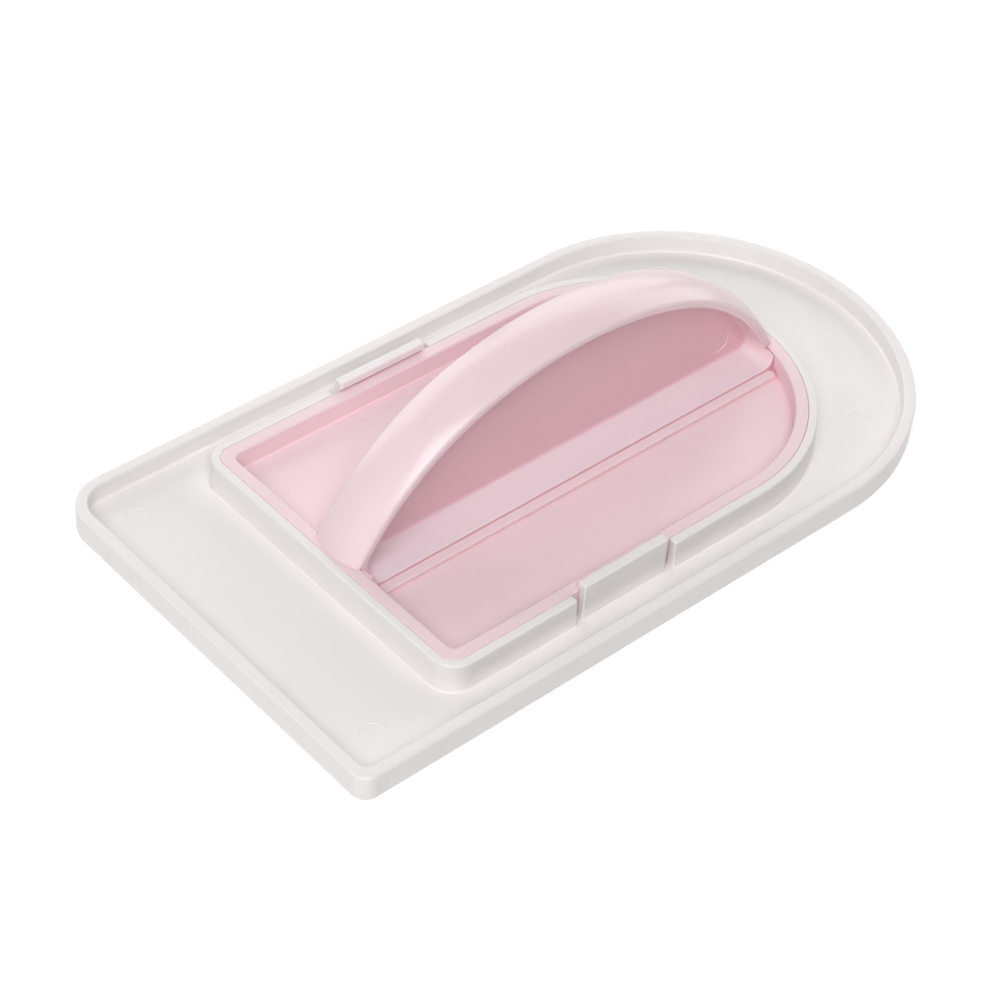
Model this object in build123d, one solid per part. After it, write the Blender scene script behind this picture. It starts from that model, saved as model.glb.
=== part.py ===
from build123d import *
import math
import os

# Icing smoother: a white smoothing plate, a pink tray clipped into it and a pink arched grip.
# Millimetres. +X runs from the square end to the round nose, +Z is up from the smoothing face,
# and the origin is the centre of the smoothing face.

# Smoothing plate
plate_length = 149.0
plate_width = 80.0
plate_floor = 1.5
rim_height = 4.95
rim_thickness = 2.15
soft_corner_radius = 7.8
tight_corner_radius = 2.8
pocket_soft_corner = 5.3
pocket_tight_corner = 2.0
rim_outer_round = 0.45
rim_inner_bevel = 0.25
rim_foot_bevel = 0.3
sole_bevel = 0.15
wall_draft = 1.2
mark_diameter = 4.4
mark_depth = 0.08
back_mark_setback = 9.7
back_mark_inset = 9.5
front_mark_setback = 22.7
front_mark_inset = 14.4

# Socket wall that stands on the plate and holds the tray
socket_back_margin = 25.27
socket_nose_margin = 23.93
socket_side_margin = 9.25
socket_height = 5.6
socket_wall = 1.9
socket_corner_radius = 3.0
socket_draft = 3.6
socket_lip_round = 0.45
socket_foot_bevel = 0.25

# Two clip tabs, lengths of the socket wall cut free at their ends
clip_place_share = 0.533
clip_width = 18.8
clip_slot = 1.6
clip_recess = 0.5
clip_rise = 1.9
clip_reach = 0.5
clip_headroom = 0.4
clip_bevel = 0.25

# Tray
tray_clearance = 0.1
tray_rim = 2.3
tray_depth = 3.8
tray_floor = 1.0
tray_skirt = 1.5
tray_corner_radius = 2.85
tray_inner_corner = 1.4
tray_outer_bevel = 0.15
tray_inner_bevel = 0.25
tray_foot_bevel = 0.3
rib_width = 1.9
rib_height = 0.9
rib_bevel = 0.2
rib_stop = 0.4

# Grip: foot strip, web and crowned band in one moulding
foot_clearance = 0.1
foot_width = 15.7
foot_thickness = 1.3
foot_end_round = 2.2
foot_end_drop = 0.3
foot_end_wall = 0.4
foot_bevel = 0.3
web_thickness = 1.8
web_root_bevel = 0.6
band_width = 11.0
band_edge = 1.5
band_crown = 1.35
band_upper_round = 0.8
band_lower_bevel = 0.3
band_bite = 0.3
arch_inset = 1.25
arch_rise = 24.3
arch_top_radius = 66.5
arch_top_angle = 17.2
web_mark_diameter = 4.2
web_mark_setback = 8.4
web_mark_rise = 4.25

# Pegs under the foot strip that hold the grip to the tray
peg_count = 3
peg_radius = 1.5
peg_clearance = 0.15
peg_head_radius = 2.4
peg_head_height = 0.5
peg_end_gap = 12.0

# Extra length of a cutter past the face that it leaves through, and how near counts as touching
overrun = 1.0
touch = 0.01

# Places worked out from the sizes above
plate_back = -plate_length / 2
plate_front = plate_length / 2
socket_back = plate_back + socket_back_margin
socket_length = plate_length - socket_back_margin - socket_nose_margin
socket_width = plate_width - 2 * socket_side_margin
socket_top = plate_floor + socket_height
nose_x = socket_back + socket_length - socket_width / 2
clip_place = socket_back + (nose_x - socket_back) * clip_place_share
tray_top = socket_top
tray_bed = tray_top - tray_depth
tray_under = tray_bed - tray_floor
tray_inset = tray_clearance + tray_rim
tray_middle = socket_back + socket_length / 2
foot_top = tray_bed + foot_thickness
trough_half_width = foot_width / 2 + foot_clearance


def draft_shift(height):
    """How far a drafted wall leans over this height."""
    return height * math.tan(math.radians(wall_draft))


foot_inset = tray_inset + draft_shift(tray_depth) + foot_clearance
foot_back = socket_back + foot_inset
foot_front = socket_back + socket_length - foot_inset


def nosed_outline(back, length, width, near_corner, far_corner):
    """Plan outline: square end at back with two rounded corners, half-round nose at the front."""
    half = width / 2
    nose = back + length - half
    return make_face([
        Line((back + near_corner, -half), (nose, -half)),
        CenterArc((nose, 0), half, -90, 180),
        Line((nose, half), (back + far_corner, half)),
        CenterArc((back + far_corner, half - far_corner), far_corner, 90, 90),
        Line((back, half - far_corner), (back, -half + near_corner)),
        CenterArc((back + near_corner, -half + near_corner), near_corner, 180, 90),
    ])


def socket_outline(inset, corner):
    """The outline of the socket's inner wall, drawn in by inset or let out by a negative one."""
    return nosed_outline(socket_back + inset, socket_length - 2 * inset, socket_width - 2 * inset,
                         corner, corner)


def prism(outline, bottom, top, taper=0.0):
    """Upright solid on an outline, leaning in towards its top by the taper."""
    return Pos(0, 0, bottom) * extrude(outline, amount=top - bottom, taper=taper)


def sunk_prism(outline, top, bottom, foot_bevel):
    """Drafted cutter from an outline at the top down to a bevelled foot."""
    cutter = Pos(0, 0, top) * extrude(outline, amount=bottom - top, taper=wall_draft)
    cutter = chamfer(cutter.edges().group_by(Axis.Z)[0], foot_bevel)
    return cutter + prism(outline, top, top + overrun)


def at_level(shapes, axis, level):
    """The faces or edges that lie at one level along an axis."""
    return shapes.filter_by_position(axis, level - touch, level + touch)


def mouth_edges(shape, height):
    """Edges of the openings in the largest flat face that lies at this height."""
    faces = at_level(shape.faces().filter_by(Plane.XY), Axis.Z, height)
    return [edge for wire in faces.sort_by(SortBy.AREA)[-1].inner_wires() for edge in wire.edges()]


def both_sides(solid):
    """The solid and its mirror image on the other side of the centre plane."""
    return [solid, mirror(solid, about=Plane.XZ)]


# Smoothing plate
def clip_section():
    """Section through the tab on the +Y side: an upright with an inward hook at its top."""
    inner = socket_width / 2
    outer = inner + socket_wall - clip_recess
    root = plate_floor / 2
    hook_under = tray_top + clip_headroom
    top = socket_top + clip_rise
    return Plane.YZ * make_face(Polyline(
        (inner, root), (outer, root), (outer, top), (inner - clip_reach, top),
        (inner - clip_reach, hook_under), (inner, hook_under), close=True))


def clip_tab():
    """One tab on the +Y side, bevelled round its top."""
    tab = extrude(clip_section(), amount=clip_width / 2, both=True)
    tab = chamfer(tab.edges().group_by(Axis.Z)[-1], clip_bevel)
    return Pos(clip_place, 0, 0) * tab


def clip_room():
    """The gap in the socket wall that one tab stands in, on the +Y side."""
    depth = socket_wall + 2 * socket_foot_bevel
    height = socket_height + overrun
    return Pos(clip_place, socket_width / 2, plate_floor) * Box(
        clip_width + 2 * clip_slot, depth, height, align=(Align.CENTER, Align.MIN, Align.MIN))


def sole_marks():
    """Four shallow round marks left in the plate's floor by the mould's pins."""
    mark = Cylinder(mark_diameter / 2, 2 * mark_depth)
    places = [(plate_back + back_mark_setback, back_mark_inset),
              (plate_front - front_mark_setback, front_mark_inset)]
    return [Pos(x, side * (plate_width / 2 - inset), plate_floor) * mark
            for x, inset in places for side in (-1, 1)]


def smoothing_plate():
    """White plate: flat sole, raised rim, socket wall and the two clip tabs in one moulding."""
    outline = nosed_outline(plate_back, plate_length, plate_width,
                            tight_corner_radius, soft_corner_radius)
    plate = prism(outline, 0, rim_height)
    plate = fillet(plate.edges().group_by(Axis.Z)[-1], rim_outer_round)
    plate = chamfer(plate.edges().group_by(Axis.Z)[0], sole_bevel)
    pocket = nosed_outline(plate_back + rim_thickness, plate_length - 2 * rim_thickness,
                           plate_width - 2 * rim_thickness, pocket_tight_corner, pocket_soft_corner)
    plate -= sunk_prism(pocket, rim_height, plate_floor, rim_foot_bevel)
    plate = chamfer(mouth_edges(plate, rim_height), rim_inner_bevel)
    wall = prism(socket_outline(-socket_wall, socket_corner_radius + socket_wall),
                 plate_floor, socket_top, socket_draft)
    plate += fillet(wall.edges().group_by(Axis.Z)[-1], socket_lip_round)
    plate = chamfer(mouth_edges(plate, plate_floor), socket_foot_bevel)
    plate -= prism(socket_outline(0, socket_corner_radius), plate_floor, socket_top + overrun)
    plate -= both_sides(clip_room())
    plate += both_sides(clip_tab())
    return plate - sole_marks()


# Tray
def trough_rib():
    """Low rib on the tray's floor beside the foot strip, on the +Y side."""
    middle = trough_half_width + rib_width / 2
    wall_radius = socket_width / 2 - tray_inset - draft_shift(tray_depth)
    front = nose_x + math.sqrt(wall_radius ** 2 - middle ** 2) - rib_stop
    back = socket_back + tray_clearance + tray_rim / 2
    centre = front - rib_width / 2
    outline = Pos((back + centre) / 2, middle) * Rectangle(centre - back, rib_width)
    outline += Pos(centre, middle) * Circle(rib_width / 2)
    rib = prism(outline, tray_bed - tray_floor / 2, tray_bed + rib_height)
    return chamfer(rib.edges().group_by(Axis.Z)[-1], rib_bevel)


def peg_places():
    """Places of the pegs along the foot strip."""
    start = foot_back + peg_end_gap
    step = (foot_front - foot_back - 2 * peg_end_gap) / (peg_count - 1)
    return [Pos(start + step * number, 0, 0) for number in range(peg_count)]


def handle_tray():
    """Pink tray: rim, sunk floor with two ribs, and a skirt that stands on the plate."""
    tray = prism(socket_outline(tray_clearance, tray_corner_radius), plate_floor, tray_top)
    tray = chamfer(tray.edges().group_by(Axis.Z)[-1], tray_outer_bevel)
    tray -= sunk_prism(socket_outline(tray_inset, tray_inner_corner), tray_top, tray_bed, tray_foot_bevel)
    tray = chamfer(mouth_edges(tray, tray_top), tray_inner_bevel)
    hollow = socket_outline(tray_clearance + tray_skirt, tray_inner_corner)
    tray -= prism(hollow, plate_floor, tray_under)
    tray += both_sides(trough_rib())
    hole = Pos(0, 0, tray_bed) * Cylinder(peg_radius + peg_clearance, 2 * (tray_floor + peg_clearance))
    return tray - [place * hole for place in peg_places()]


# Grip
def arch_shoulder():
    """Radius and centre of the shoulder arc that runs from the top arc to the tray's rim."""
    lean = math.radians(arch_top_angle)
    outward = Vector(math.sin(lean), math.cos(lean))
    top_centre = tray_top + arch_rise - arch_top_radius
    joint = Vector(0, top_centre) + outward * arch_top_radius
    foot = Vector(socket_length / 2 - tray_inset - arch_inset, tray_top)
    chord = foot - joint
    radius = -chord.dot(chord) / (2 * chord.dot(outward))
    return radius, joint - outward * radius, joint, top_centre


shoulder_radius, shoulder_centre, shoulder_joint, top_arc_height = arch_shoulder()


def shoulder_reach(height, lift=0.0):
    """Distance from the arch's middle to its underside, or to a curve lifted off it, at this height."""
    rise = height - shoulder_centre.Y
    return shoulder_centre.X + math.sqrt((shoulder_radius + lift) ** 2 - rise ** 2)


def under_arch(bottom, lift=0.0):
    """Side view of the space between a level line and the arch's underside, or a curve lifted off it."""
    reach = shoulder_reach(bottom, lift)
    start, end = (tray_middle - reach, bottom), (tray_middle + reach, bottom)
    lean = math.radians(arch_top_angle)
    joint = shoulder_joint + Vector(math.sin(lean), math.cos(lean)) * lift
    left, right = (tray_middle - joint.X, joint.Y), (tray_middle + joint.X, joint.Y)
    return make_face([
        Line(start, end),
        TangentArc(right, end, tangent=(math.cos(lean), -math.sin(lean))),
        ThreePointArc(left, (tray_middle, tray_top + arch_rise + lift), right),
        TangentArc(left, start, tangent=(-math.cos(lean), -math.sin(lean))),
    ])


def band_section(radius):
    """Crowned section of the band, drawn with its underside at this radius."""
    half, edge = band_width / 2, radius + band_edge
    section = make_face([
        Line((-half, edge), (-half, radius)),
        Line((-half, radius), (half, radius)),
        Line((half, radius), (half, edge)),
        ThreePointArc((half, edge), (0, edge + band_crown), (-half, edge)),
    ])
    section = chamfer(section.vertices().group_by(Axis.Y)[0], band_lower_bevel)
    return fillet(section.vertices().group_by(Axis.Y)[-1], band_upper_round)


def band_arc(centre_x, centre_z, radius, start, turn):
    """The band bent round one arc; angles in degrees from straight up, positive towards the nose."""
    lean = math.radians(start)
    plane = Plane(origin=(centre_x, 0, centre_z), x_dir=(0, 1, 0),
                  z_dir=(math.cos(lean), 0, -math.sin(lean)))
    return revolve(plane * band_section(radius), Axis((centre_x, 0, centre_z), (0, 1, 0)), turn)


def band():
    """The arched band from foot to foot."""
    low = foot_top - foot_thickness / 2
    end = math.degrees(math.atan2(shoulder_reach(low) - shoulder_centre.X, low - shoulder_centre.Y))
    turn = end - arch_top_angle
    back, front = tray_middle - shoulder_centre.X, tray_middle + shoulder_centre.X
    return (band_arc(tray_middle, top_arc_height, arch_top_radius, -arch_top_angle, 2 * arch_top_angle)
            + band_arc(front, shoulder_centre.Y, shoulder_radius, arch_top_angle, turn)
            + band_arc(back, shoulder_centre.Y, shoulder_radius, -end, turn))


def finger_pocket():
    """The space beside the web on the -Y side, with strengthened roots all round."""
    space = under_arch(foot_top)
    space = fillet(space.vertices().group_by(Axis.Y)[0], foot_end_round)
    web_face = -web_thickness / 2
    pocket = Pos(0, web_face, 0) * extrude(Plane.XZ * space, amount=foot_width / 2 + overrun)
    return chamfer(at_level(pocket.edges(), Axis.Y, web_face), web_root_bevel)


def end_relief():
    """The space above the strip's ends beside the band, on the -Y side: both ends sweep up to a thin edge."""
    side = foot_width / 2
    front = nose_x + math.sqrt((socket_width / 2 - foot_inset) ** 2 - side ** 2) - foot_end_wall
    back = foot_back + foot_end_wall
    space = Pos((back + front) / 2, foot_top) * Rectangle(front - back, 2 * tray_depth,
                                                          align=(Align.CENTER, Align.MIN))
    space = fillet(space.vertices().group_by(Axis.Y)[0], foot_end_round)
    return Pos(0, -band_width / 2, 0) * extrude(Plane.XZ * space, amount=side + overrun - band_width / 2)


def peg():
    """One peg below the foot strip, its head spread under the tray's floor."""
    upward = (Align.CENTER, Align.CENTER, Align.MIN)
    shank = Cylinder(peg_radius, peg_head_height + tray_floor, align=upward)
    head = Cylinder(peg_head_radius, peg_head_height, align=upward)
    return Pos(0, 0, tray_under - peg_head_height) * (shank + head)


def grip_handle():
    """Pink grip: crowned arched band, web and foot strip in one moulding, with pegs below."""
    strip = Pos(tray_middle, 0) * Rectangle(socket_length, foot_width)
    plan = socket_outline(foot_inset, tray_inner_corner) & strip
    foot = prism(plan, tray_bed, tray_top - foot_end_drop)
    foot = chamfer(foot.edges().group_by(Axis.Z)[0], foot_bevel)
    core = extrude(Plane.XZ * under_arch(foot_top - foot_thickness / 2, band_bite),
                   amount=web_thickness / 2 + web_root_bevel + band_bite, both=True)
    outside = Pos(tray_middle, 0, 0) * Box(2 * socket_length, foot_width, tray_top,
                                           align=(Align.CENTER, Align.CENTER, Align.MIN))
    grip = band() + core + foot
    grip -= outside - prism(plan, tray_bed, tray_top)
    grip -= both_sides(finger_pocket())
    grip -= both_sides(end_relief())
    grip -= Pos(foot_front - web_mark_setback, -web_thickness / 2, foot_top + web_mark_rise) * Rot(90, 0, 0) \
        * Cylinder(web_mark_diameter / 2, 2 * mark_depth)
    return grip + [place * peg() for place in peg_places()]


os.makedirs("parts", exist_ok=True)
for name, piece in (("smoothing_plate", smoothing_plate()), ("handle_tray", handle_tray()),
                    ("grip_handle", grip_handle())):
    export_step(piece, f"parts/{name}.step")
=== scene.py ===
import math
import bmesh
import bpy
from mathutils import Matrix, Vector


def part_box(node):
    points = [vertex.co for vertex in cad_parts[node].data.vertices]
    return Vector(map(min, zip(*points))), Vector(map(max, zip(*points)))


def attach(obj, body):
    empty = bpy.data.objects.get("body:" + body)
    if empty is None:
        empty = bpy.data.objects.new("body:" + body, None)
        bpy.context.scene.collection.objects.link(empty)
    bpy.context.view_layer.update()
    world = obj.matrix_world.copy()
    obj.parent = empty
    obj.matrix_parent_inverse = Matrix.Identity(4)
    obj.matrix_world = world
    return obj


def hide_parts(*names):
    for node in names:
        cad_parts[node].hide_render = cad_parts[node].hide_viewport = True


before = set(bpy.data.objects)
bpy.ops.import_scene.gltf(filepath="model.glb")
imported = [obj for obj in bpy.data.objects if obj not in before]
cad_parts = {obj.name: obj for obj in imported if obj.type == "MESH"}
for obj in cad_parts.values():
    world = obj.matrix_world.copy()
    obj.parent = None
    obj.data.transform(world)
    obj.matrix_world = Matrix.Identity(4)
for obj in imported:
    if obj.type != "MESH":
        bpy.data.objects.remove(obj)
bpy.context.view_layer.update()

# Smoothing plate. One white injection moulding: a flat glossy sole with a low rim all round, and on its
# floor the socket wall that the tray drops into. The wall and its two clip tabs grow out of the floor.
MM = 0.001
plate_low, plate_high = [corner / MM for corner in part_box("smoothing_plate")]
tray_low, tray_high = [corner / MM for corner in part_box("handle_tray")]
rim_height = 4.95
rim_thickness = 2.15
plate_corners = (2.8, 7.8)
pocket_corners = (2.0, 5.3)
rim_draft = math.tan(math.radians(1.2))
sole_edge_round = 0.25
rim_outer_round = 0.5
rim_inner_round = 0.35
floor_fillet = 0.5
floor_level = tray_low.z
socket_top = tray_high.z
tray_clearance = 0.04
socket_wall = 1.9
socket_corner = 3.0
socket_lean = math.tan(math.radians(3.6))
socket_inner_round = 0.15
socket_outer_round = 0.45
socket_foot_fillet = 0.4
wall_end_round = 0.25
rooted = 1.0
ledge = 0.9
below_floor = 0.002
nose_steps = 160
corner_steps = 18
round_steps = 6
smallest_round = 0.01


def arc_stations(centre_x, centre_y, radius, start, turn, steps):
    """Points and outward directions along an arc, angles in degrees."""
    angles = [math.radians(start + turn * step / steps) for step in range(steps + 1)]
    return [(centre_x + radius * math.cos(angle), centre_y + radius * math.sin(angle),
             math.cos(angle), math.sin(angle)) for angle in angles]


def nosed_stations(back, front, half, near_corner, far_corner):
    """Plan of a plate with a square end and a half-round nose, as points and outward directions."""
    return (arc_stations(front - half, 0, half, -90, 180, nose_steps)
            + arc_stations(back + far_corner, half - far_corner, far_corner, 90, 90, corner_steps)
            + arc_stations(back + near_corner, near_corner - half, near_corner, 180, 90, corner_steps))


def ring(stations, inset, height):
    """The plan drawn in by an inset, at a height."""
    return [Vector((x - out_x * inset, y - out_y * inset, height)) for x, y, out_x, out_y in stations]


def eased(corners, closed=False):
    """A line through corners (u, v, radius), each corner rounded by an arc of its radius."""
    line = []
    count = len(corners)
    for place, (u, v, radius) in enumerate(corners):
        here = Vector((u, v))
        if radius == 0 or (not closed and place in (0, count - 1)):
            line.append(here)
            continue
        before = (Vector(corners[place - 1][:2]) - here).normalized()
        after = (Vector(corners[(place + 1) % count][:2]) - here).normalized()
        half_angle = before.angle(after) / 2
        middle = here + (before + after).normalized() * radius / math.sin(half_angle)
        start = here + before * radius / math.tan(half_angle) - middle
        end = here + after * radius / math.tan(half_angle) - middle
        swing = start.angle_signed(end)
        for step in range(round_steps + 1):
            turn = -swing * step / round_steps
            line.append(middle + Vector((start.x * math.cos(turn) - start.y * math.sin(turn),
                                         start.x * math.sin(turn) + start.y * math.cos(turn))))
    return line


def skinned(name, rings):
    """A closed mesh stretched over rings of equally many points, with a flat face on each end."""
    mesh = bmesh.new()
    rows = [[mesh.verts.new(point * MM) for point in points] for points in rings]
    count = len(rings[0])
    for low, high in zip(rows, rows[1:]):
        for place in range(count):
            following = (place + 1) % count
            mesh.faces.new((low[place], low[following], high[following], high[place]))
    mesh.faces.new(reversed(rows[0]))
    mesh.faces.new(rows[-1])
    bmesh.ops.recalc_face_normals(mesh, faces=mesh.faces)
    data = bpy.data.meshes.new(name)
    mesh.to_mesh(data)
    mesh.free()
    piece = bpy.data.objects.new(name, data)
    bpy.context.scene.collection.objects.link(piece)
    return piece


def worked(piece, operation, tools):
    """The piece with tools united to it or cut from it. The tools are used up."""
    for tool in tools:
        step = piece.modifiers.new(operation, "BOOLEAN")
        step.operation = operation
        step.solver = "EXACT"
        step.object = tool
        bpy.context.view_layer.update()
        shaped = bpy.data.meshes.new_from_object(piece.evaluated_get(bpy.context.evaluated_depsgraph_get()))
        piece.modifiers.remove(step)
        old = piece.data
        piece.data = shaped
        shaped.name = old.name
        bpy.data.meshes.remove(old)
        bpy.data.objects.remove(tool)
    return piece


def drawn_in(corners, amount):
    """A closed outline of corners (u, v, radius), moved in: its outer rounds shrink, its inner ones grow."""
    points = [Vector(corner[:2]) for corner in corners]
    turning = sum(one.cross(two) for one, two in zip(points, points[1:] + points[:1]))
    side = 1 if turning > 0 else -1
    moved = []
    for place, (u, v, radius) in enumerate(corners):
        here = points[place]
        before = (here - points[place - 1]).normalized()
        after = (points[(place + 1) % len(points)] - here).normalized()
        square = Vector((-before.y - after.y, before.x + after.x)) * side / (1 + before.dot(after))
        bulge = 1 if before.cross(after) * side > 0 else -1
        moved.append((*(here + square * amount),
                      max(radius - bulge * amount, smallest_round) if radius else 0))
    return moved


def end_rings(corners, station, end_round, inward):
    """Rings that round off one end of a swept wall, from its flat tip to its full section."""
    x, y, out_x, out_y = station
    rings = []
    for step in range(round_steps + 1):
        angle = math.pi / 2 * step / round_steps
        shift = inward * end_round * (1 - math.cos(angle))
        section = eased(drawn_in(corners, end_round * (1 - math.sin(angle))), closed=True)
        rings.append([Vector((x + out_x * u + shift, y + out_y * u, v)) for u, v in section])
    return rings


def rounded_run(name, corners, stations, end_round, inward):
    """A wall swept along stations, both ends rounded. Its section has corners (outwards, height, radius)."""
    section = eased(corners, closed=True)
    between = [[Vector((x + out_x * u, y + out_y * u, v)) for u, v in section]
               for x, y, out_x, out_y in stations[1:-1]]
    last_inward = inward if stations[0][0] == stations[-1][0] else -inward
    return skinned(name, end_rings(corners, stations[0], end_round, inward) + between
                   + end_rings(corners, stations[-1], end_round, last_inward)[::-1])


plate_outside = nosed_stations(plate_low.x, plate_high.x, plate_high.y, *plate_corners)
plate_pocket = nosed_stations(plate_low.x + rim_thickness, plate_high.x - rim_thickness,
                              plate_high.y - rim_thickness, *pocket_corners)
wall_foot = rim_draft * (rim_height - floor_level)
# Each profile is a line of (inset, height, round). Its first and last points only run on over flat faces.
outer_profile = eased([(1.2, 0, 0), (0, 0, sole_edge_round), (0, rim_height, rim_outer_round),
                       (1.0, rim_height, 0)])
pocket_profile = eased([(-0.9, rim_height, 0), (0, rim_height, rim_inner_round),
                        (wall_foot, floor_level, floor_fillet), (1.4, floor_level, 0)])
plate = skinned("plate", [ring(plate_outside, *point) for point in outer_profile]
                + [ring(plate_pocket, *point) for point in pocket_profile])

socket_back, socket_front = tray_low.x - tray_clearance, tray_high.x + tray_clearance
socket_half = tray_high.y + tray_clearance
clip_share = 0.533
clip_place = socket_back + (socket_front - socket_half - socket_back) * clip_share
clip_width = 18.8
clip_slot = 1.6
wall_top = socket_wall - socket_lean * (socket_top - floor_level)
wall_corners = [(0, floor_level - rooted, 0), (0, socket_top, socket_inner_round),
                (wall_top, socket_top, socket_outer_round),
                (socket_wall, floor_level - below_floor, socket_foot_fillet),
                (socket_wall + ledge, floor_level - below_floor, 0),
                (socket_wall + ledge, floor_level - rooted, 0)]
gap_front, gap_back = clip_place + clip_width / 2 + clip_slot, clip_place - clip_width / 2 - clip_slot
front_run = ([(gap_front, -socket_half, 0, -1)]
             + arc_stations(socket_front - socket_half, 0, socket_half, -90, 180, nose_steps)
             + [(gap_front, socket_half, 0, 1)])
corner_middle = socket_half - socket_corner
back_run = ([(gap_back, socket_half, 0, 1)]
            + arc_stations(socket_back + socket_corner, corner_middle, socket_corner, 90, 90, corner_steps)
            + arc_stations(socket_back + socket_corner, -corner_middle, socket_corner, 180, 90,
                           corner_steps)
            + [(gap_back, -socket_half, 0, -1)])
front_wall = rounded_run("front_wall", wall_corners, front_run, wall_end_round, 1)
back_wall = rounded_run("back_wall", wall_corners, back_run, wall_end_round, -1)

# Clip tabs, part of the same moulding: two lengths of the socket wall cut free at their ends, a little
# thinner and taller than the wall, each with a hook that reaches in over the tray's rim.
clip_top = plate_high.z
clip_thinner = 0.5
clip_outside = socket_wall - clip_thinner
hook_reach = 0.5
hook_room = 0.4
hook_under = socket_top + hook_room
clip_corners = [(0, floor_level - rooted, 0), (0, hook_under, 0.08), (-hook_reach, hook_under, 0.12),
                (-hook_reach, clip_top, 0.3), (clip_outside, clip_top, 0.35),
                (clip_outside, floor_level - rooted, 0)]


def clip_tab(side):
    """One tab on one side of the plate."""
    ends = [(clip_place + end * clip_width / 2, side * socket_half, 0, side) for end in (-1, 1)]
    return rounded_run("clip_tab", clip_corners, ends, wall_end_round, 1)


worked(plate, "UNION", [front_wall, back_wall, clip_tab(-1), clip_tab(1)])

# Ejector marks. Four shallow round prints in the plate's floor, where the mould's pins push the moulding
# out while it is still warm. They come in pairs beside both long edges.
mark_radius = 2.2
mark_depth = 0.15
mark_softness = 0.06
mark_steps = 72
mark_places = [(plate_low.x + 9.7, plate_high.y - 9.5), (plate_high.x - 22.7, plate_high.y - 14.4)]


def round_print(name, radius, depth, place, up):
    """A shallow round cutter with a softened edge, sunk into a face by its depth."""
    place, up = Vector(place), Vector(up)
    side = up.orthogonal().normalized()
    across = up.cross(side)
    turns = [math.tau * step / mark_steps for step in range(mark_steps)]
    wall = [(radius - mark_softness, -depth), (radius, -depth * 0.35), (radius + mark_softness, 0.02),
            (radius + mark_softness, 0.5)]
    return skinned(name, [[place + side * reach * math.cos(turn) + across * reach * math.sin(turn) + up * rise
                           for turn in turns] for reach, rise in wall])


worked(plate, "DIFFERENCE", [round_print("mark", mark_radius, mark_depth, (x, side * y, floor_level),
                                         (0, 0, 1)) for x, y in mark_places for side in (-1, 1)])

# The plate's plastic. White and glossy, with faint mottling and flow waves from the mould, a fine grain,
# a few dark specks and painted shade in its creases. The tray and the grip are the same plastic coloured
# pink.
white = (0.85, 0.82, 0.815)
# Painted shade colour, multiplied into the plate's creases.
white_painted_shade = (0.97, 0.96, 0.95)
white_speck = (0.2, 0.17, 0.16)
weld_reach = 0.001
sharp_angle = 38


def fair(piece):
    """Slivers of the cuts welded away, then smooth shading that keeps flat faces flat and corners sharp."""
    weld = bmesh.new()
    weld.from_mesh(piece.data)
    bmesh.ops.remove_doubles(weld, verts=weld.verts[:], dist=weld_reach * MM)
    bmesh.ops.dissolve_degenerate(weld, edges=weld.edges[:], dist=weld_reach * MM)
    bmesh.ops.holes_fill(weld, edges=[edge for edge in weld.edges if edge.is_boundary], sides=4)
    weld.to_mesh(piece.data)
    weld.free()
    piece.data.shade_smooth()
    piece.data.set_sharp_from_angle(angle=math.radians(sharp_angle))
    keep = piece.modifiers.new("fair", "WEIGHTED_NORMAL")
    keep.keep_sharp = True
    keep.weight = 50
    return piece


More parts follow.
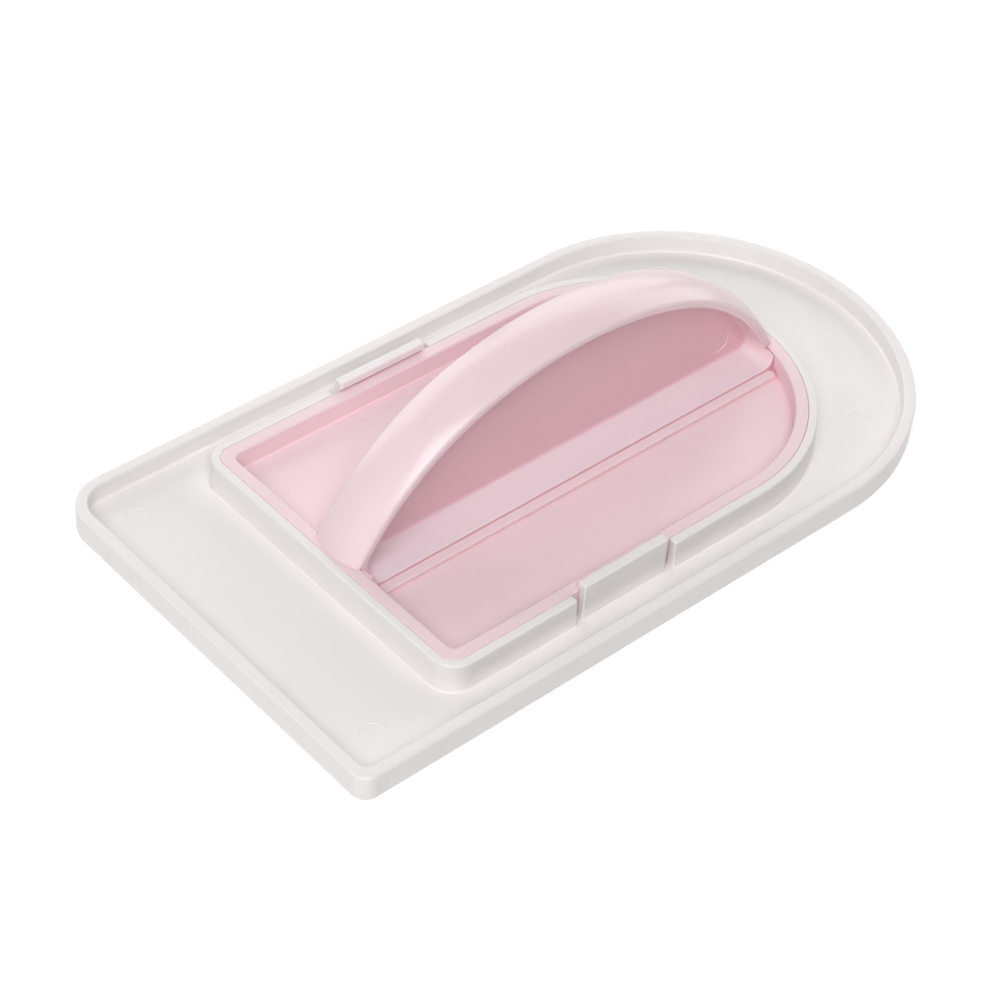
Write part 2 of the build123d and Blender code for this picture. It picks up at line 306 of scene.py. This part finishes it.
def moulded_plastic(name, colour, painted_shade_colour, speck_colour, roughness, depth, grain, speck_share):
    """Glossy moulded plastic, a little see-through, with painted shade multiplied into its creases. The
    grain's depth is in millimetres.
    """
    material = bpy.data.materials.new(name)
    material.use_nodes = True
    nodes, links = material.node_tree.nodes, material.node_tree.links
    shader = nodes["Principled BSDF"]
    shader.inputs["IOR"].default_value = 1.52
    shader.inputs["Subsurface Weight"].default_value = depth
    shader.inputs["Subsurface Radius"].default_value = (1.0, 0.85, 0.85)
    shader.inputs["Subsurface Scale"].default_value = 0.7 * MM
    place = nodes.new("ShaderNodeTexCoord").outputs["Object"]

    def noise(scale_mm, detail, name):
        texture = nodes.new("ShaderNodeTexNoise")
        texture.label = name
        texture.inputs["Scale"].default_value = 1 / (scale_mm * MM)
        texture.inputs["Detail"].default_value = detail
        links.new(place, texture.inputs["Vector"])
        return texture.outputs["Fac"]

    def spread(value, low, high):
        fit = nodes.new("ShaderNodeMapRange")
        fit.inputs["From Min"].default_value = 0.3
        fit.inputs["From Max"].default_value = 0.7
        fit.inputs["To Min"].default_value = low
        fit.inputs["To Max"].default_value = high
        links.new(value, fit.inputs["Value"])
        return fit.outputs["Result"]

    def blend(share, one, other):
        mix = nodes.new("ShaderNodeMix")
        mix.data_type = "RGBA"
        links.new(share, mix.inputs["Factor"])
        for socket, value in ((mix.inputs["A"], one), (mix.inputs["B"], other)):
            if isinstance(value, tuple):
                socket.default_value = (*value, 1)
            else:
                links.new(value, socket)
        return mix.outputs["Result"]

    darker = tuple(part * 0.975 for part in colour)
    mottle = blend(spread(noise(14, 3, "mottling"), 0, 1), colour, darker)
    specks = nodes.new("ShaderNodeTexVoronoi")
    specks.label = "specks"
    specks.inputs["Scale"].default_value = 1 / (2.6 * MM)
    links.new(place, specks.inputs["Vector"])
    spot = nodes.new("ShaderNodeMapRange")
    spot.inputs["From Min"].default_value = 0.034
    spot.inputs["From Max"].default_value = 0.022
    links.new(specks.outputs["Distance"], spot.inputs["Value"])
    split = nodes.new("ShaderNodeSeparateColor")
    links.new(specks.outputs["Color"], split.inputs["Color"])
    rare = nodes.new("ShaderNodeMath")
    rare.operation = "LESS_THAN"
    rare.inputs[1].default_value = speck_share
    links.new(split.outputs["Red"], rare.inputs[0])
    both = nodes.new("ShaderNodeMath")
    both.operation = "MULTIPLY"
    links.new(spot.outputs["Result"], both.inputs[0])
    links.new(rare.outputs["Value"], both.inputs[1])
    # Painted shade: an occlusion probe darkens and deepens the colour in creases, seams and corners, where
    # shade falls.
    crease = nodes.new("ShaderNodeAmbientOcclusion")
    crease.samples = 8
    crease.inputs["Distance"].default_value = 1.5 * MM
    shut_in = nodes.new("ShaderNodeMapRange")
    shut_in.inputs["From Min"].default_value = 0.85
    shut_in.inputs["From Max"].default_value = 0.35
    links.new(crease.outputs["AO"], shut_in.inputs["Value"])
    creases_shaded = nodes.new("ShaderNodeMix")
    creases_shaded.data_type = "RGBA"
    creases_shaded.blend_type = "MULTIPLY"
    links.new(shut_in.outputs["Result"], creases_shaded.inputs["Factor"])
    links.new(blend(both.outputs["Value"], mottle, speck_colour), creases_shaded.inputs["A"])
    creases_shaded.inputs["B"].default_value = (*painted_shade_colour, 1)
    links.new(creases_shaded.outputs["Result"], shader.inputs["Base Color"])
    links.new(spread(noise(6, 4, "gloss"), roughness * 0.88, roughness * 1.12), shader.inputs["Roughness"])
    ripple = nodes.new("ShaderNodeBump")
    ripple.inputs["Strength"].default_value = 0.5
    ripple.inputs["Distance"].default_value = grain * MM
    links.new(noise(0.5, 2, "skin"), ripple.inputs["Height"])
    wave = nodes.new("ShaderNodeBump")
    wave.inputs["Strength"].default_value = 0.2
    wave.inputs["Distance"].default_value = 0.06 * MM
    links.new(noise(22, 1, "flow"), wave.inputs["Height"])
    links.new(ripple.outputs["Normal"], wave.inputs["Normal"])
    links.new(wave.outputs["Normal"], shader.inputs["Normal"])
    return material


fair(plate)
plate.data.materials.clear()
plate.data.materials.append(moulded_plastic("white_plastic", white, white_painted_shade, white_speck,
                                            roughness=0.38, depth=0.1, grain=0.08, speck_share=0.16))
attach(plate, "root")
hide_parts("smoothing_plate")

# Tray. A pink moulding that lies in the socket under the two clip tabs: a broad flat rim round a sunk floor,
# a skirt below that stands on the plate, and two low ribs that make a trough for the grip's foot.
tray_rim = 2.3
tray_depth = 3.8
tray_floor = 1.0
tray_skirt = 1.5
tray_corner = 2.85
well_corner = 1.4
tray_pink = (0.865, 0.685, 0.725)
# Painted shade colour, multiplied into the pink creases and seams.
pink_painted_shade = (0.98, 0.78, 0.8)
pink_speck = (0.25, 0.12, 0.13)
tray_bed = socket_top - tray_depth
tray_under = tray_bed - tray_floor
tray_outside = nosed_stations(tray_low.x, tray_high.x, tray_high.y, tray_corner, tray_corner)
tray_pocket = nosed_stations(tray_low.x + tray_rim, tray_high.x - tray_rim, tray_high.y - tray_rim,
                             well_corner, well_corner)
tray_hollow = nosed_stations(tray_low.x + tray_skirt, tray_high.x - tray_skirt, tray_high.y - tray_skirt,
                             well_corner, well_corner)
tray_lean = rim_draft * tray_depth
hollow_profile = eased([(0.8, tray_under, 0), (0, tray_under, 0.3), (0, floor_level, 0.12),
                        (-0.5, floor_level, 0)])
skirt_profile = eased([(0.6, floor_level, 0), (0, floor_level, 0.12), (0, socket_top, 0.22),
                       (0.9, socket_top, 0)])
well_profile = eased([(-0.9, socket_top, 0), (0, socket_top, 0.35), (tray_lean, tray_bed, 0.45),
                      (1.0, tray_bed, 0)])
tray = skinned("tray", [ring(tray_hollow, *point) for point in hollow_profile]
               + [ring(tray_outside, *point) for point in skirt_profile]
               + [ring(tray_pocket, *point) for point in well_profile])

foot_half = 7.85
foot_clearance = 0.03
rib_width = 1.9
rib_height = 0.9
rib_stop = 0.4
rib_edge_round = 0.25
rib_end_steps = 24
nose_x = tray_high.x - tray_high.y
rib_middle = foot_half + foot_clearance + rib_width / 2
well_radius = tray_high.y - tray_rim - tray_lean
rib_front = nose_x + math.sqrt(well_radius ** 2 - rib_middle ** 2) - rib_stop - rib_width / 2
rib_back = tray_low.x + tray_rim / 2
rib_profile = eased([(0, tray_bed - 0.5, 0), (0, tray_bed + rib_height, rib_edge_round),
                     (0.5, tray_bed + rib_height, 0)])


def trough_rib(side):
    """One rib, with a round front end and a back end that dies into the tray's wall."""
    stations = (arc_stations(rib_front, side * rib_middle, rib_width / 2, -90, 180, rib_end_steps)
                + arc_stations(rib_back, side * rib_middle, rib_width / 2, 90, 180, rib_end_steps))
    return skinned("rib", [ring(stations, *point) for point in rib_profile])


peg_count = 3
peg_end_gap = 12.0
peg_radius = 1.5
peg_hole_radius = 1.65
turned_steps = 48
foot_inset = tray_rim + tray_lean + foot_clearance
foot_back, foot_front = tray_low.x + foot_inset, tray_high.x - foot_inset
peg_step = (foot_front - foot_back - 2 * peg_end_gap) / (peg_count - 1)
peg_places = [foot_back + peg_end_gap + peg_step * number for number in range(peg_count)]


def turned(name, x, profile):
    """A turned shape that stands at x on the centre line, from a profile of (radius, height)."""
    turns = [math.tau * step / turned_steps for step in range(turned_steps)]
    return skinned(name, [[Vector((x + reach * math.cos(turn), reach * math.sin(turn), height))
                           for turn in turns] for reach, height in profile])


worked(tray, "UNION", [trough_rib(-1), trough_rib(1)])
hole_profile = [(peg_hole_radius, tray_under - 0.5), (peg_hole_radius, tray_bed + 0.5)]
worked(tray, "DIFFERENCE", [turned("peg_hole", x, hole_profile) for x in peg_places])
fair(tray)
tray.data.materials.clear()
tray.data.materials.append(moulded_plastic("pink_tray_plastic", tray_pink, pink_painted_shade, pink_speck,
                                           roughness=0.34, depth=0.2, grain=0.035, speck_share=0.14))
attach(tray, "root")
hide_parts("handle_tray")

# Grip. A second pink moulding in a glossier finish: a crowned band that arches from one end of the tray to
# the other, a thin web that fills the arch, and a foot strip that lies in the trough and is pegged below.
foot_thickness = 1.3
foot_top = tray_bed + foot_thickness
foot_end_drop = 0.3
foot_end_wall = 0.4
foot_edge_round = 0.2
foot_front_steps = 12
web_half = 0.9
web_root = 0.8
band_half = 5.5
band_edge = 1.5
band_crown = 1.35
band_upper_round = 0.8
band_lower_round = 0.35
band_below = 0.9
foot_end_round = 2.2
end_steps = 14
past_side = 0.003
flare_start = 0.3
flare_run = 1.5
grip_pink = (0.87, 0.685, 0.715)
# Painted shade for the web's two faces: a deeper pink multiplied in where they face sideways.
web_painted_shade = (0.96, 0.79, 0.83)
# Painted light for the strip's upward top: lighter and cooler where it faces up.
strip_painted_light = (0.965, 1.05, 1.08)
arch_steps = 48
arch_set_in = 1.25
arch_rise = 24.29
arch_top_radius = 66.5
arch_lean = math.radians(17.2)
arch_middle = (tray_low.x + tray_high.x) / 2
arch_half = (tray_high.x - tray_low.x) / 2 - tray_rim - arch_set_in
lean_x, lean_z = math.sin(arch_lean), math.cos(arch_lean)
top_middle = socket_top + arch_rise - arch_top_radius
joint_x, joint_z = lean_x * arch_top_radius, top_middle + lean_z * arch_top_radius
chord_x, chord_z = arch_half - joint_x, socket_top - joint_z
shoulder_radius = -(chord_x ** 2 + chord_z ** 2) / (2 * (chord_x * lean_x + chord_z * lean_z))
shoulder_x, shoulder_z = joint_x - lean_x * shoulder_radius, joint_z - lean_z * shoulder_radius


def arch_stations(low_degrees):
    """The arch's underside in side view, from its front foot over the top to its back foot."""
    top = 90 - math.degrees(arch_lean)
    swing = top - low_degrees
    front = arc_stations(arch_middle + shoulder_x, shoulder_z, shoulder_radius, low_degrees, swing,
                         arch_steps)
    crown = arc_stations(arch_middle, top_middle, arch_top_radius, top, 180 - 2 * top, arch_steps)
    back = arc_stations(arch_middle - shoulder_x, shoulder_z, shoulder_radius, 180 - top, swing,
                        arch_steps)
    return front[:-1] + crown + back[1:]


def crowned_section():
    """Half-open section of the band (across, outwards), sunk below its underside for the cutters to trim."""
    crown_radius = (band_half ** 2 + band_crown ** 2) / (2 * band_crown)
    crown_middle = band_edge + band_crown - crown_radius
    round_y = band_half - band_upper_round
    round_z = crown_middle + math.sqrt((crown_radius - band_upper_round) ** 2 - round_y ** 2)
    meet = math.degrees(math.atan2(round_z - crown_middle, round_y))
    near = arc_stations(round_y, round_z, band_upper_round, 0, meet, 8)
    crown = arc_stations(0, crown_middle, crown_radius, meet, 180 - 2 * meet, 28)
    far = arc_stations(-round_y, round_z, band_upper_round, 180 - meet, meet, 8)
    line = [(across, out) for across, out, _, _ in near + crown[1:-1] + far]
    return [(band_half, -band_below)] + line + [(-band_half, -band_below)]


def band(low_degrees):
    """The crowned band, run along the arch."""
    section = crowned_section()
    rings = [[Vector((x + out_x * out, across, z + out_z * out)) for across, out in section]
             for x, z, out_x, out_z in arch_stations(low_degrees)]
    return skinned("grip", rings)


def foot_strip(half, top, step_in):
    """The strip in the trough, its front end curved like the tray's wall, or a narrower one inside it."""
    front_radius = tray_high.y - foot_inset
    reach = math.degrees(math.asin(half / front_radius))
    front = arc_stations(nose_x, 0, front_radius, -reach, 2 * reach, foot_front_steps)
    corners = [(x, y, 0.35 if place in (0, foot_front_steps) else 0)
               for place, (x, y, _, _) in enumerate(front)]
    corners += [(foot_back, half, 0.5), (foot_back, -half, 0.5)]
    profile = eased([(0.6, tray_bed, 0), (0, tray_bed, 0.35), (0, top, 0.15), (0.5, top, 0)])
    return skinned("foot", [[Vector((*point, height))
                             for point in eased(drawn_in(corners, inset + step_in), closed=True)]
                            for inset, height in profile])


def core(low_degrees):
    """A slab under the arch for the web and its rounded roots, which the cutters shape."""
    line = [(x + out_x * 0.3, z + out_z * 0.3) for x, z, out_x, out_z in arch_stations(low_degrees)]
    thickness = web_half + web_root + 0.5
    return skinned("core", [[Vector((x, y, z)) for x, z in line] for y in (-thickness, thickness)])


def finger_space(side):
    """Cutter for the space beside the web: it leaves rounded roots, edges and upswept foot ends."""
    round_z = foot_top + foot_end_round
    reach = math.sqrt((shoulder_radius - foot_end_round) ** 2 - (round_z - shoulder_z) ** 2)
    meet = math.degrees(math.atan2(round_z - shoulder_z, reach))
    front = arc_stations(arch_middle + shoulder_x + reach, round_z, foot_end_round, -90, 90 + meet,
                         end_steps)
    back = arc_stations(arch_middle - shoulder_x - reach, round_z, foot_end_round, 180 - meet, 90 + meet,
                        end_steps)
    start, end = back[-1][0], front[0][0]
    floor = [(start + (end - start) * step / 24, foot_top, 0, -1) for step in range(1, 24)]
    loop = front + arch_stations(meet)[1:-1] + back + floor

    def outline(y, inset, arch_flare=0.0, floor_flare=0.0):
        points = []
        for x, z, out_x, out_z in loop:
            share = min(max((z - socket_top - flare_start) / flare_run, 0), 1)
            grow = arch_flare * share * share * (3 - 2 * share) + floor_flare - inset
            points.append(Vector((x + out_x * grow, side * y, z + out_z * grow)))
        return points

    turns = [math.pi / 2 * step / round_steps for step in range(round_steps + 1)]
    rings = [outline(foot_half + 1.0, 0, band_lower_round, foot_edge_round)]
    strip_edge = foot_half - foot_edge_round + past_side
    rings += [outline(strip_edge + foot_edge_round * math.sin(turn), 0, band_lower_round,
                      foot_edge_round - foot_edge_round * math.cos(turn)) for turn in reversed(turns)]
    edge = band_half - band_lower_round + past_side
    rings += [outline(edge + band_lower_round * math.sin(turn), 0, band_lower_round * (1 - math.cos(turn)))
              for turn in reversed(turns)]
    root = web_half + web_root
    rings += [outline(root - web_root * math.sin(turn), web_root * (1 - math.cos(turn))) for turn in turns]
    return skinned("finger_space", rings)


def end_relief(side):
    """Cutter for the space above the strip's ends beside the band: both ends sweep up to a thin edge."""
    front_radius = tray_high.y - foot_inset
    back = foot_back + foot_end_wall + foot_end_round
    front = nose_x + math.sqrt(front_radius ** 2 - foot_half ** 2) - foot_end_wall - foot_end_round
    height = foot_top + foot_end_round
    front_sweep = arc_stations(front, height, foot_end_round, -90, 90, end_steps)
    back_sweep = arc_stations(back, height, foot_end_round, 180, 90, end_steps)
    clear = socket_top + 1.0
    above = [(front + foot_end_round, clear, 0, 1), (back - foot_end_round, clear, 0, 1)]
    outline = [(x, z) for x, z, _, _ in front_sweep + above + back_sweep]
    return skinned("end_relief", [[Vector((x, side * y, z)) for x, z in outline]
                                  for y in (band_half + 0.01, foot_half + 1.0)])


foot_low = foot_top - 0.8
foot_fall = foot_low - shoulder_z
low_angle = math.degrees(math.atan2(foot_fall, math.sqrt(shoulder_radius ** 2 - foot_fall ** 2)))
grip = band(low_angle)
trim = bmesh.new()
trim.from_mesh(grip.data)
cut = bmesh.ops.bisect_plane(trim, geom=trim.verts[:] + trim.edges[:] + trim.faces[:], clear_inner=True,
                             plane_co=(0, 0, (socket_top - 0.005) * MM), plane_no=(0, 0, 1))
bmesh.ops.holes_fill(trim, edges=[part for part in cut["geom_cut"] if isinstance(part, bmesh.types.BMEdge)])
trim.to_mesh(grip.data)
trim.free()
peg_head_radius = 2.4
peg_head_low, peg_head_high = 1.8, 2.3
peg_profile = eased([(0.4, peg_head_low, 0), (peg_head_radius, peg_head_low, 0.15),
                     (peg_head_radius, peg_head_high, 0.1), (peg_radius, peg_head_high, 0),
                     (peg_radius, tray_bed + 0.8, 0), (0.5, tray_bed + 0.8, 0)])
web_mark_radius = 2.1
web_mark_place = (foot_front - 8.4, -web_half, foot_top + 4.25)
inside_strip = 0.01
worked(grip, "UNION", [foot_strip(foot_half, socket_top - foot_end_drop, 0),
                       foot_strip(band_half, socket_top, inside_strip), core(low_angle)]
       + [turned("peg", x, peg_profile) for x in peg_places])
worked(grip, "DIFFERENCE", [finger_space(-1), finger_space(1), end_relief(-1), end_relief(1),
                            round_print("web_mark", web_mark_radius, mark_depth, web_mark_place, (0, -1, 0))])
fair(grip)
grip_plastic = moulded_plastic("pink_grip_plastic", grip_pink, pink_painted_shade, pink_speck,
                               roughness=0.24, depth=0.2, grain=0.02, speck_share=0.1)


def painted_by_facing(material, tones):
    """Tints faces that look along an axis and lie low on it, each tone as (tint, axis, none from, full from).

    Painted shade and light: the two faces of the thin web get painted shade, a deeper pink than the band, and
    the strip's upward top gets painted light, lighter and cooler.
    """
    nodes, links = material.node_tree.nodes, material.node_tree.links

    def part(output, axis):
        parts = nodes.new("ShaderNodeSeparateXYZ")
        links.new(output, parts.inputs["Vector"])
        size = nodes.new("ShaderNodeMath")
        size.operation = "ABSOLUTE"
        links.new(parts.outputs[axis], size.inputs[0])
        return size.outputs["Value"]

    def fall(value, nothing, full):
        fit = nodes.new("ShaderNodeMapRange")
        fit.interpolation_type = "SMOOTHSTEP"
        fit.inputs["From Min"].default_value = nothing
        fit.inputs["From Max"].default_value = full
        links.new(value, fit.inputs["Value"])
        return fit.outputs["Result"]

    normal = nodes.new("ShaderNodeNewGeometry").outputs["True Normal"]
    place = nodes.new("ShaderNodeTexCoord").outputs["Object"]
    base = nodes["Principled BSDF"].inputs["Base Color"]
    for tone, axis, end, begin in tones:
        share = nodes.new("ShaderNodeMath")
        share.operation = "MULTIPLY"
        links.new(fall(part(normal, axis), 0.2, 1.0), share.inputs[0])
        links.new(fall(part(place, axis), end * MM, begin * MM), share.inputs[1])
        mix = nodes.new("ShaderNodeMix")
        mix.data_type = "RGBA"
        mix.blend_type = "MULTIPLY"
        links.new(share.outputs["Value"], mix.inputs["Factor"])
        links.new(base.links[0].from_socket, mix.inputs["A"])
        mix.inputs["B"].default_value = (*tone, 1)
        links.new(mix.outputs["Result"], base)
    return material


grip.data.materials.clear()
# Painted shade on the web's faces and painted light on the strip's top, chosen by facing and height.
grip.data.materials.append(painted_by_facing(grip_plastic, [(web_painted_shade, "Y", 3.5, 2.5),
                                                (strip_painted_light, "Z", foot_top + 1.6, foot_top + 0.4)]))
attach(grip, "root")
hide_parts("grip_handle")

# Table top. A plain white sheet that the part stands on and that keeps its soft shadow. What the camera
# sees of it glows a little, so that it ends as white as the room behind it.
table_size = 3.0
table_gap = 0.0002


def seen_share(tree):
    """1 for a ray that the camera, a reflection or a clear piece sees, 0 for one that only brings light."""
    rays = tree.nodes.new("ShaderNodeLightPath")
    share = rays.outputs["Is Camera Ray"]
    for kind in ("Is Glossy Ray", "Is Transmission Ray"):
        either = tree.nodes.new("ShaderNodeMath")
        either.operation = "MAXIMUM"
        tree.links.new(share, either.inputs[0])
        tree.links.new(rays.outputs[kind], either.inputs[1])
        share = either.outputs["Value"]
    return share


table_data = bpy.data.meshes.new("table")
table_corners = [(x * table_size, y * table_size, 0) for x, y in ((-1, -1), (1, -1), (1, 1), (-1, 1))]
table_data.from_pydata(table_corners, [], [(0, 1, 2, 3)])
table = bpy.data.objects.new("table", table_data)
bpy.context.scene.collection.objects.link(table)
table.location.z = -table_gap
table_paint = bpy.data.materials.new("table_paint")
table_paint.use_nodes = True
paint_nodes, paint_links = table_paint.node_tree.nodes, table_paint.node_tree.links
paint_nodes.clear()
sheet = paint_nodes.new("ShaderNodeBsdfDiffuse")
sheet.inputs["Color"].default_value = (0.86, 0.86, 0.86, 1)
seen_sheet = paint_nodes.new("ShaderNodeBsdfDiffuse")
seen_sheet.inputs["Color"].default_value = (0.42, 0.42, 0.42, 1)
glow = paint_nodes.new("ShaderNodeEmission")
away = paint_nodes.new("ShaderNodeVectorMath")
away.operation = "LENGTH"
paint_links.new(paint_nodes.new("ShaderNodeTexCoord").outputs["Object"], away.inputs[0])
glow_level = paint_nodes.new("ShaderNodeMapRange")
glow_level.inputs["From Min"].default_value = 0.3
glow_level.inputs["From Max"].default_value = 1.2
glow_level.inputs["To Min"].default_value = 0.66
glow_level.inputs["To Max"].default_value = 1.0
paint_links.new(away.outputs["Value"], glow_level.inputs["Value"])
paint_links.new(glow_level.outputs["Result"], glow.inputs["Strength"])
seen_both = paint_nodes.new("ShaderNodeAddShader")
paint_links.new(seen_sheet.outputs["BSDF"], seen_both.inputs[0])
paint_links.new(glow.outputs["Emission"], seen_both.inputs[1])
choice = paint_nodes.new("ShaderNodeMixShader")
paint_links.new(seen_share(table_paint.node_tree), choice.inputs["Fac"])
paint_links.new(sheet.outputs["BSDF"], choice.inputs[1])
paint_links.new(seen_both.outputs["Shader"], choice.inputs[2])
paint_out = paint_nodes.new("ShaderNodeOutputMaterial")
paint_links.new(choice.outputs["Shader"], paint_out.inputs["Surface"])
table_data.materials.append(table_paint)

# Studio light. One broad soft box high beside the camera, and paler cards low down all round the table.
# The room itself is white to the eye and brings only a little light.
world = bpy.data.worlds.new("studio")
bpy.context.scene.world = world
world.use_nodes = True
room = world.node_tree.nodes["Background"]
room.inputs["Color"].default_value = (1, 1, 1, 1)
room_level = world.node_tree.nodes.new("ShaderNodeMapRange")
room_level.inputs["To Min"].default_value = 0.06
world.node_tree.links.new(seen_share(world.node_tree), room_level.inputs["Value"])
world.node_tree.links.new(room_level.outputs["Result"], room.inputs["Strength"])
lamp_distance = 1.3
lamp_size = 0.9


def soft_box(name, azimuth, elevation, power):
    """A square lamp that faces the part from a direction in degrees, its power in watts."""
    lamp = bpy.data.lights.new(name, "AREA")
    lamp.shape = "RECTANGLE"
    lamp.size = lamp_size
    lamp.size_y = lamp_size
    lamp.energy = power
    holder = bpy.data.objects.new(name, lamp)
    bpy.context.scene.collection.objects.link(holder)
    around, up = math.radians(azimuth), math.radians(elevation)
    holder.location = Vector((math.cos(around) * math.cos(up), math.sin(around) * math.cos(up),
                              math.sin(up))) * lamp_distance
    holder.rotation_euler = (-holder.location).to_track_quat("-Z", "Y").to_euler()


soft_box("key_box", 222, 50, 13.7)
soft_box("left_card", 180, 22, 2.1)
soft_box("back_card", 90, 22, 4.9)
soft_box("corner_card", 45, 25, 3.9)
soft_box("right_card", 0, 22, 4.6)

# Camera. A long lens about half a metre off, above the near corner of the square end, rolled a little. Its
# place was solved from the photo's outline of the plate.
camera_data = bpy.data.cameras.new("camera")
camera_data.sensor_width = 36.0
camera_data.lens = 102.07
camera_data.clip_start = 0.01
camera = bpy.data.objects.new("camera", camera_data)
bpy.context.scene.collection.objects.link(camera)
camera_azimuth, camera_height, camera_roll = map(math.radians, (-45.504, 42.806, 5.886))
backward = Vector((math.sin(camera_azimuth) * math.cos(camera_height),
                   -math.cos(camera_azimuth) * math.cos(camera_height), math.sin(camera_height)))
rightward = (-backward).cross(Vector((0, 0, 1))).normalized()
upward = rightward.cross(-backward)
rolled_right = rightward * math.cos(camera_roll) + upward * math.sin(camera_roll)
rolled_up = upward * math.cos(camera_roll) - rightward * math.sin(camera_roll)
camera.rotation_euler = Matrix((rolled_right, rolled_up, backward)).transposed().to_euler()
camera.location = [distance * MM for distance in (-265.588, -250.247, 328.820)]
bpy.context.scene.camera = camera
bpy.context.scene.view_settings.view_transform = "Standard"
